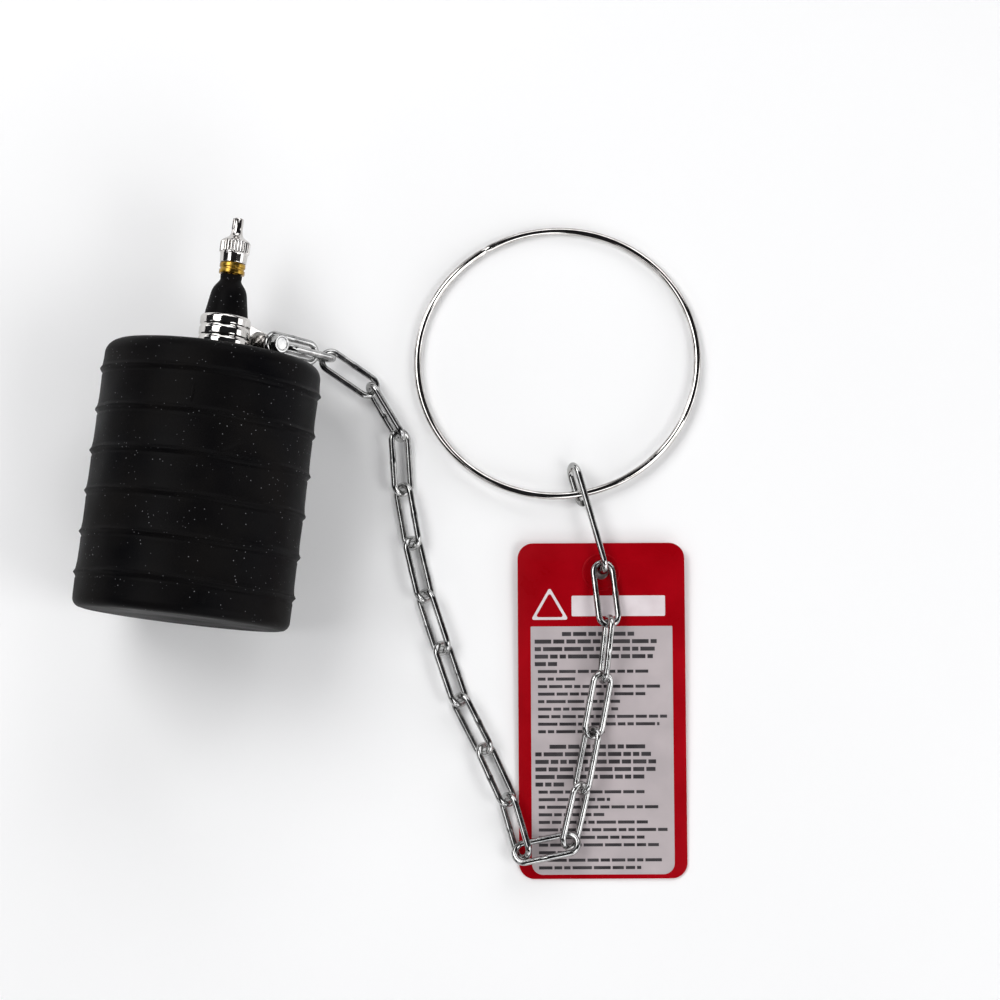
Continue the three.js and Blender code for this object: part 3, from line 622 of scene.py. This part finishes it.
# Each link is laid along the long, wide and thin ways of its own solid
for index in range(1, LINK_COUNT + 1):
    node = f"chain_link_{index:02d}"
    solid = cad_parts[node]
    spots = np.array([solid.matrix_world @ v.co for v in solid.data.vertices])
    vectors = np.linalg.eigh(np.cov((spots - spots.mean(axis=0)).T))[1]
    long_way, wide_way = Vector(vectors[:, 2]), Vector(vectors[:, 1])
    if index % 3 == 0:
        wide_way = -wide_way
    link_place = Matrix((long_way, wide_way, long_way.cross(wide_way))).transposed().to_4x4()
    link_place.translation = Vector(spots.mean(axis=0))
    line = [link_place @ point for point in link_line]
    link_plane = link_place.to_3x3() @ Vector((0, 0, 1))
    mould = bmesh.new()
    wire(mould, line, LINK_WIRE, 20, closed=True, plane=link_plane, swell=weld_swell)
    link = piece_from(f"welded_link_{index:02d}", mould, sharp=60)
    link.data.materials.append(zinc_plate)
    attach(link, "plug")
    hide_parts(node)

# Hook. One length of 3 mm wire bent cold: an open bend at one end, put through the last link and the tag's
# hole, a straight shank, and a curled eye at the other end that the big ring runs in.
HOOK_BEND = 0.00475
HOOK_SHANK = 0.0412
EYE_STRAIGHT = 0.0326
hook_frame = Matrix((
    (-0.3859, 0.3155, 0.8669, 0.182152),
    (0.9225, 0.1320, 0.3626, -0.009025),
    (0.0, 0.9397, -0.3420, 0.0060135),
    (0, 0, 0, 1),
))


def bend_points(x, start, end, steps):
    """Points of one bend of the hook, round a centre at x, from one angle in degrees to another."""
    sweep = (math.radians(start + (end - start) * k / steps) for k in range(steps + 1))
    return [Vector((x + HOOK_BEND * math.cos(a), HOOK_BEND * math.sin(a), 0)) for a in sweep]


hook_line = [Vector((0.0008, -HOOK_BEND, 0))]
hook_line += bend_points(0, -90, -270, 28)
hook_line += [Vector((HOOK_SHANK * k / 24, HOOK_BEND, 0)) for k in range(1, 24)]
hook_line += bend_points(HOOK_SHANK, 90, -90, 28)
hook_line += [Vector((HOOK_SHANK + (EYE_STRAIGHT - HOOK_SHANK) * k / 6, -HOOK_BEND, 0)) for k in range(1, 6)]
hook_line += bend_points(EYE_STRAIGHT, -90, -180, 14)
mould = bmesh.new()
wire(mould, [hook_frame @ p for p in hook_line], LINK_WIRE, 24, plane=hook_frame.to_3x3() @ Vector((0, 0, 1)))
bent_hook = piece_from("bent_hook", mould, sharp=50)
bent_hook.data.materials.append(zinc_plate)
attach(bent_hook, "plug")
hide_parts("ring_hook")

# Ring. A hoop of 3.4 mm chromed wire, rolled round and not quite true, with its two ends butted against each
# other but not welded. The far side lies on the floor, and the hook's eye holds the near side up.
RING_WIRE = 0.0017
RING_HALF_WIDE = 0.0648
RING_HALF_HIGH = 0.0621
RING_JOINT = math.radians(112)
RING_HALF_GAP = 0.0002
RING_STEPS = 300
ring_frame = Matrix((
    (0.9617, -0.2739, -0.0070, 0.169212),
    (0.2740, 0.9614, 0.0247, 0.020899),
    (0.0, -0.0257, 0.9997, 0.004941),
    (0, 0, 0, 1),
))
gap = RING_HALF_GAP / RING_HALF_HIGH
ring_line = []
for k in range(RING_STEPS + 1):
    angle = RING_JOINT + gap + (2 * math.pi - 2 * gap) * k / RING_STEPS
    untrue = 0.00018 * math.sin(3 * angle + 0.6)
    x = (RING_HALF_WIDE + untrue) * math.cos(angle)
    y = RING_HALF_HIGH + (RING_HALF_HIGH + untrue * 0.4) * math.sin(angle)
    ring_line.append(Vector((x, y, 0)))


def butt_end(k):
    """The wire is a little thinner at its two cut ends, where their edges are worn."""
    return -0.14 if k in (0, RING_STEPS) else 0


ring_plane = ring_frame.to_3x3() @ Vector((0, 0, 1))
mould = bmesh.new()
wire(mould, [ring_frame @ p for p in ring_line], RING_WIRE, 24, plane=ring_plane, swell=butt_end)
wire_hoop = piece_from("wire_hoop", mould, sharp=50)
wire_hoop.data.materials.append(bright_chrome)
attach(wire_hoop, "ring")
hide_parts("safety_ring")

# Tag. A card of red plastic sheet, 1 mm thick, die cut with round corners and one hole with a low rim pressed
# round it; the hook goes up through the hole. It is screen printed on the upper side.
TAG_WIDE = 0.0762
TAG_LONG = 0.1524
TAG_THICK = 0.0010
TAG_CORNER = 0.0070
HOLE_RADIUS = 0.0035
HOLE_INSET = 0.0132
HOLE_SIDES = 48
EDGE_WEAR = 0.00012
tag_frame = Matrix((
    (0.9928, -0.1201, 0.0028, 0.183089),
    (0.1201, 0.9925, -0.0235, -0.013658),
    (0.0, 0.0237, 0.9997, 0.00335),
    (0, 0, 0, 1),
))


def round_block(low_x, low_y, high_x, high_y, corner_low, corner_high, steps=10):
    """Corner points of a rectangle whose lower and upper corners are rounded, each pair by its own radius."""
    points = []
    for centre_x, centre_y, r, start in (
        (high_x - corner_low, low_y + corner_low, corner_low, -90),
        (high_x - corner_high, high_y - corner_high, corner_high, 0),
        (low_x + corner_high, high_y - corner_high, corner_high, 90),
        (low_x + corner_low, low_y + corner_low, corner_low, 180),
    ):
        for k in range(steps + 1):
            a = math.radians(start + 90 * k / steps)
            points.append((centre_x + r * math.cos(a), centre_y + r * math.sin(a)))
    return points


def card(name, outlines, thick, bevel):
    """A flat sheet cut to the outlines, the second one being a hole, with its edges slightly worn."""
    sheet = bpy.data.curves.new(name + "_outline", "CURVE")
    sheet.dimensions = "2D"
    sheet.fill_mode = "BOTH"
    sheet.extrude = thick / 2 - bevel
    sheet.bevel_depth = bevel
    sheet.bevel_resolution = 2
    for outline in outlines:
        spline = sheet.splines.new("POLY")
        spline.points.add(len(outline) - 1)
        for point, (x, y) in zip(spline.points, outline):
            point.co = (x, y, 0, 1)
        spline.use_cyclic_u = True
    cut = bpy.data.objects.new(name + "_outline", sheet)
    bpy.context.scene.collection.objects.link(cut)
    mould = bmesh.new()
    mould.from_mesh(bpy.data.meshes.new_from_object(cut))
    bpy.data.objects.remove(cut)
    bmesh.ops.remove_doubles(mould, verts=mould.verts, dist=1e-6)
    middle = tag_frame @ Matrix.Translation((0, 0, thick / 2))
    bmesh.ops.transform(mould, matrix=middle, verts=mould.verts)
    return mould


tag_outline = round_block(
    -TAG_WIDE / 2, HOLE_INSET - TAG_LONG, TAG_WIDE / 2, HOLE_INSET, TAG_CORNER, TAG_CORNER,
)
hole_outline = [
    (HOLE_RADIUS * math.cos(a), HOLE_RADIUS * math.sin(a))
    for a in (2 * math.pi * k / HOLE_SIDES for k in range(HOLE_SIDES))
]
mould = card("tag_sheet", [tag_outline, hole_outline], TAG_THICK, EDGE_WEAR)
# The pressed rim: radius round the hole, and height over the sheet's upper face
rim_profile = (
    (0.0074, -0.00005), (0.0077, 0.00016), (0.0081, 0.00023), (0.0085, 0.00016), (0.0088, -0.00005),
)
rim_frame = tag_frame @ Matrix.Rotation(math.pi / 2, 4, "X")
turn(mould, [(radius, TAG_THICK + rise) for radius, rise in rim_profile], 72, rim_frame)
tag_sheet = piece_from("tag_sheet", mould)
tag_red = clouded("tag_red", (0.30, 0.0003, 0.0038), (0.37, 0.0004, 0.0055), 0,
                  (0.26, 0.40), 0.020, 0.0009, 0.000006)
tag_red.node_tree.nodes["Principled BSDF"].inputs["Specular IOR Level"].default_value = 0.05
tag_sheet.data.materials.append(tag_red)
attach(tag_sheet, "tag")
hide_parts("warning_tag")

# Print on the tag. Plain fields of ink: an off-white panel, white blocks above it, and thin dark bars in rows
# on the panel. The ink lies flat on the sheet and is as thin as paper.
INK = 0.00003
TRIANGLE_MIDDLE = (-0.0236, -0.0168)
TRIANGLE_HALF = 0.0086
TRIANGLE_BORDER = 0.0021
panel_white = clouded("panel_white", (0.46, 0.41, 0.42), (0.52, 0.46, 0.47), 0,
                      (0.34, 0.48), 0.015, 0.0006, 0.000003)
ink_white = clouded("ink_white", (0.70, 0.62, 0.64), (0.79, 0.72, 0.74), 0,
                    (0.34, 0.46), 0.010, 0.0006, 0.000003)
ink_dark = clouded("ink_dark", (0.020, 0.017, 0.020), (0.045, 0.040, 0.044), 0,
                   (0.36, 0.50), 0.010, 0.0006, 0.000002)


def printed(name, blocks, level, finish):
    """Blocks of ink on the tag, each with an upper and a lower face; level is the upper face's height."""
    mould = bmesh.new()
    for outline in blocks:
        for height, flip in ((level, False), (level - INK, True)):
            ring = [mould.verts.new(tag_frame @ Vector((x, y, TAG_THICK + height))) for x, y in outline]
            mould.faces.new(ring[::-1] if flip else ring)
    piece = piece_from(name, mould)
    piece.data.materials.append(finish)
    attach(piece, "tag")


printed("printed_panel", [round_block(-0.0324, -0.1374, 0.0324, -0.0248, 0.0050, 0.0004)], INK, panel_white)


def triangle(half, worn=0.0008, steps=6):
    """A triangle that stands on one side, with its three corners rounded."""
    points = []
    for k in range(3):
        a = math.pi / 2 + k * 2 * math.pi / 3
        reach = half / math.cos(math.pi / 6) - 2 * worn
        for step in range(steps + 1):
            b = a - math.pi / 3 + 2 * math.pi / 3 * step / steps
            points.append((
                TRIANGLE_MIDDLE[0] + reach * math.cos(a) + worn * math.cos(b),
                TRIANGLE_MIDDLE[1] + reach * math.sin(a) + worn * math.sin(b),
            ))
    return points


printed("printed_heading", [
    round_block(-0.0136, -0.0202, 0.0292, -0.0108, 0.0006, 0.0006),
    triangle(TRIANGLE_HALF),
], INK, ink_white)
printed("printed_triangle_field", [triangle(TRIANGLE_HALF - TRIANGLE_BORDER)], 2 * INK, tag_red)

# Rows of bars: where each row starts and ends across the panel, and whether it is a strong or a thin one
ROW_TOP = -0.0283
ROW_LEFT = -0.0306
ROW_PITCH = 0.00342
STRONG_HALF = 0.00092
THIN_HALF = 0.00070
BAR_SPACE = 0.0009
BAR_LENGTHS = (0.0042, 0.0076, 0.0029, 0.0061, 0.0051, 0.0088, 0.0035)
rows = [
    (-0.0181, 0.0149, 1), (-0.0319, 0.0252, 1), (-0.0319, 0.0243, 1), (-0.0319, 0.0234, 1),
    (-0.0319, -0.0185, 1), (-0.0292, 0.0212, 0), (-0.0292, -0.0114, 0), (-0.0292, 0.0279, 0),
    (-0.0292, 0.0198, 0), (-0.0292, 0.0082, 0), (-0.0292, 0.0073, 0), (-0.0292, 0.0296, 0),
    (-0.0292, 0.0261, 0), (-0.0292, 0.0011, 0), (0, 0, 0), (-0.0241, 0.0208, 1),
    (-0.0314, 0.0221, 1), (-0.0314, 0.0252, 1), (-0.0314, 0.0248, 1), (-0.0314, 0.0190, 1),
    (-0.0314, -0.0176, 1), (-0.0292, 0.0190, 0), (-0.0292, 0.0033, 0), (-0.0292, 0.0252, 0),
    (-0.0292, 0.0006, 0), (-0.0292, 0.0217, 0), (-0.0292, 0.0293, 0), (-0.0292, 0.0199, 0),
    (-0.0292, 0.0253, 0), (-0.0292, -0.0160, 0), (-0.0292, 0.0266, 0), (-0.0292, 0.0172, 0),
]
bars = []
for k, (start, end, strong) in enumerate(rows):
    middle = ROW_TOP - k * ROW_PITCH
    half_high = STRONG_HALF if strong else THIN_HALF
    low, high = middle - half_high, middle + half_high
    x = max(start, ROW_LEFT)
    step = k
    while x < end - 0.001:
        stop = min(x + BAR_LENGTHS[step % len(BAR_LENGTHS)], end)
        bars.append([(x, low), (stop, low), (stop, high), (x, high)])
        x = stop + BAR_SPACE
        step += 3
printed("printed_rows", bars, 2 * INK, ink_dark)

# Spring of the valve core. Round steel wire coiled with open ends. It stands on the sleeve's inner step, and
# its other end sits under the pin's head.
COIL_RADIUS = 0.00125
COIL_WIRE = 0.00019
COIL_FOOT = 0.1035
COIL_TOP = 0.1068
COIL_TURNS = 4
TURN_STEPS = 20
coil_line = []
for k in range(COIL_TURNS * TURN_STEPS + 1):
    angle = 2 * math.pi * k / TURN_STEPS
    y = COIL_FOOT + (COIL_TOP - COIL_FOOT) * k / (COIL_TURNS * TURN_STEPS)
    coil_line.append(valve_axis @ Vector((COIL_RADIUS * math.sin(angle), y, COIL_RADIUS * math.cos(angle))))
mould = bmesh.new()
wire(mould, coil_line, COIL_WIRE, 10)
closing_spring = piece_from("closing_spring", mould, sharp=60)
closing_spring.data.materials.append(zinc_plate)
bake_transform(closing_spring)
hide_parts("core_spring")

# Floor, light and camera. A plain pale floor that runs out of sight, a soft grey room with two broad lamps,
# and a camera that looks down almost square, as the plug is laid out.
FLOOR_REACH = 6
LAMP_AIM = Vector((0.1, 0, 0))
floor_corners = [(x * FLOOR_REACH, y * FLOOR_REACH, 0) for x, y in ((-1, -1), (1, -1), (1, 1), (-1, 1))]
floor_mesh = bpy.data.meshes.new("pale_floor")
floor_mesh.from_pydata(floor_corners, [], [(0, 1, 2, 3)])
pale_floor = bpy.data.objects.new("pale_floor", floor_mesh)
bpy.context.scene.collection.objects.link(pale_floor)
floor_white = clouded("floor_white", (0.965, 0.965, 0.965), (0.985, 0.985, 0.985), 0,
                      (0.85, 0.92), 0.3, 0.004, 0.000002)
floor_white.node_tree.nodes["Principled BSDF"].inputs["Specular IOR Level"].default_value = 0.1
pale_floor.data.materials.append(floor_white)

room = bpy.data.worlds.new("soft_room")
room.use_nodes = True
bpy.context.scene.world = room
nodes, links = room.node_tree.nodes, room.node_tree.links
# The room is patchy, dark and bright by turns, so that bright metal shows dark and white streaks
direction = nodes.new("ShaderNodeTexCoord").outputs["Generated"]
patches = nodes.new("ShaderNodeTexNoise")
patches.inputs["Scale"].default_value = 1.7
patches.inputs["Detail"].default_value = 1.5
links.new(direction, patches.inputs["Vector"])
patch_ramp = nodes.new("ShaderNodeValToRGB")
patch_ramp.color_ramp.elements[0].position = 0.53
patch_ramp.color_ramp.elements[0].color = (0.02, 0.02, 0.022, 1)
patch_ramp.color_ramp.elements[1].position = 0.60
patch_ramp.color_ramp.elements[1].color = (2.6, 2.6, 2.64, 1)
links.new(patches.outputs["Fac"], patch_ramp.inputs["Fac"])
air = nodes["Background"]
air.inputs["Strength"].default_value = 0.94
links.new(patch_ramp.outputs["Color"], air.inputs["Color"])
seen = nodes.new("ShaderNodeBackground")
seen.inputs["Color"].default_value = (1, 1, 1, 1)
seen.inputs["Strength"].default_value = 1
path_kind = nodes.new("ShaderNodeLightPath")
choose = nodes.new("ShaderNodeMixShader")
links.new(path_kind.outputs["Is Camera Ray"], choose.inputs["Fac"])
links.new(air.outputs["Background"], choose.inputs[1])
links.new(seen.outputs["Background"], choose.inputs[2])
links.new(choose.outputs["Shader"], nodes["World Output"].inputs["Surface"])

for name, place, size, power in (
    ("left_lamp", (-0.75, 0.55, 1.35), 0.9, 12.5),
    ("right_lamp", (1.15, -0.35, 1.25), 0.7, 7.0),
):
    lamp = bpy.data.lights.new(name, "AREA")
    lamp.size = size
    lamp.energy = power
    lamp_object = bpy.data.objects.new(name, lamp)
    lamp_object.location = place
    lamp_object.rotation_euler = (LAMP_AIM - Vector(place)).to_track_quat("-Z", "Y").to_euler()
    bpy.context.scene.collection.objects.link(lamp_object)

look = Vector((-0.0124, 0.1069, -0.9942)).normalized()
right = look.cross(Vector((-0.1153, 0.9933, 0))).normalized()
view_frame = Matrix((right, right.cross(look), -look)).transposed().to_4x4()
view_frame.translation = (0.1484, -0.1162, 1.2149)
lens = bpy.data.cameras.new("photo_view")
lens.sensor_width = 36
lens.lens = 95.4
lens.clip_end = 30
photo_view = bpy.data.objects.new("photo_view", lens)
photo_view.matrix_world = view_frame
bpy.context.scene.collection.objects.link(photo_view)
bpy.context.scene.camera = photo_view
bpy.context.scene.view_settings.view_transform = "Standard"
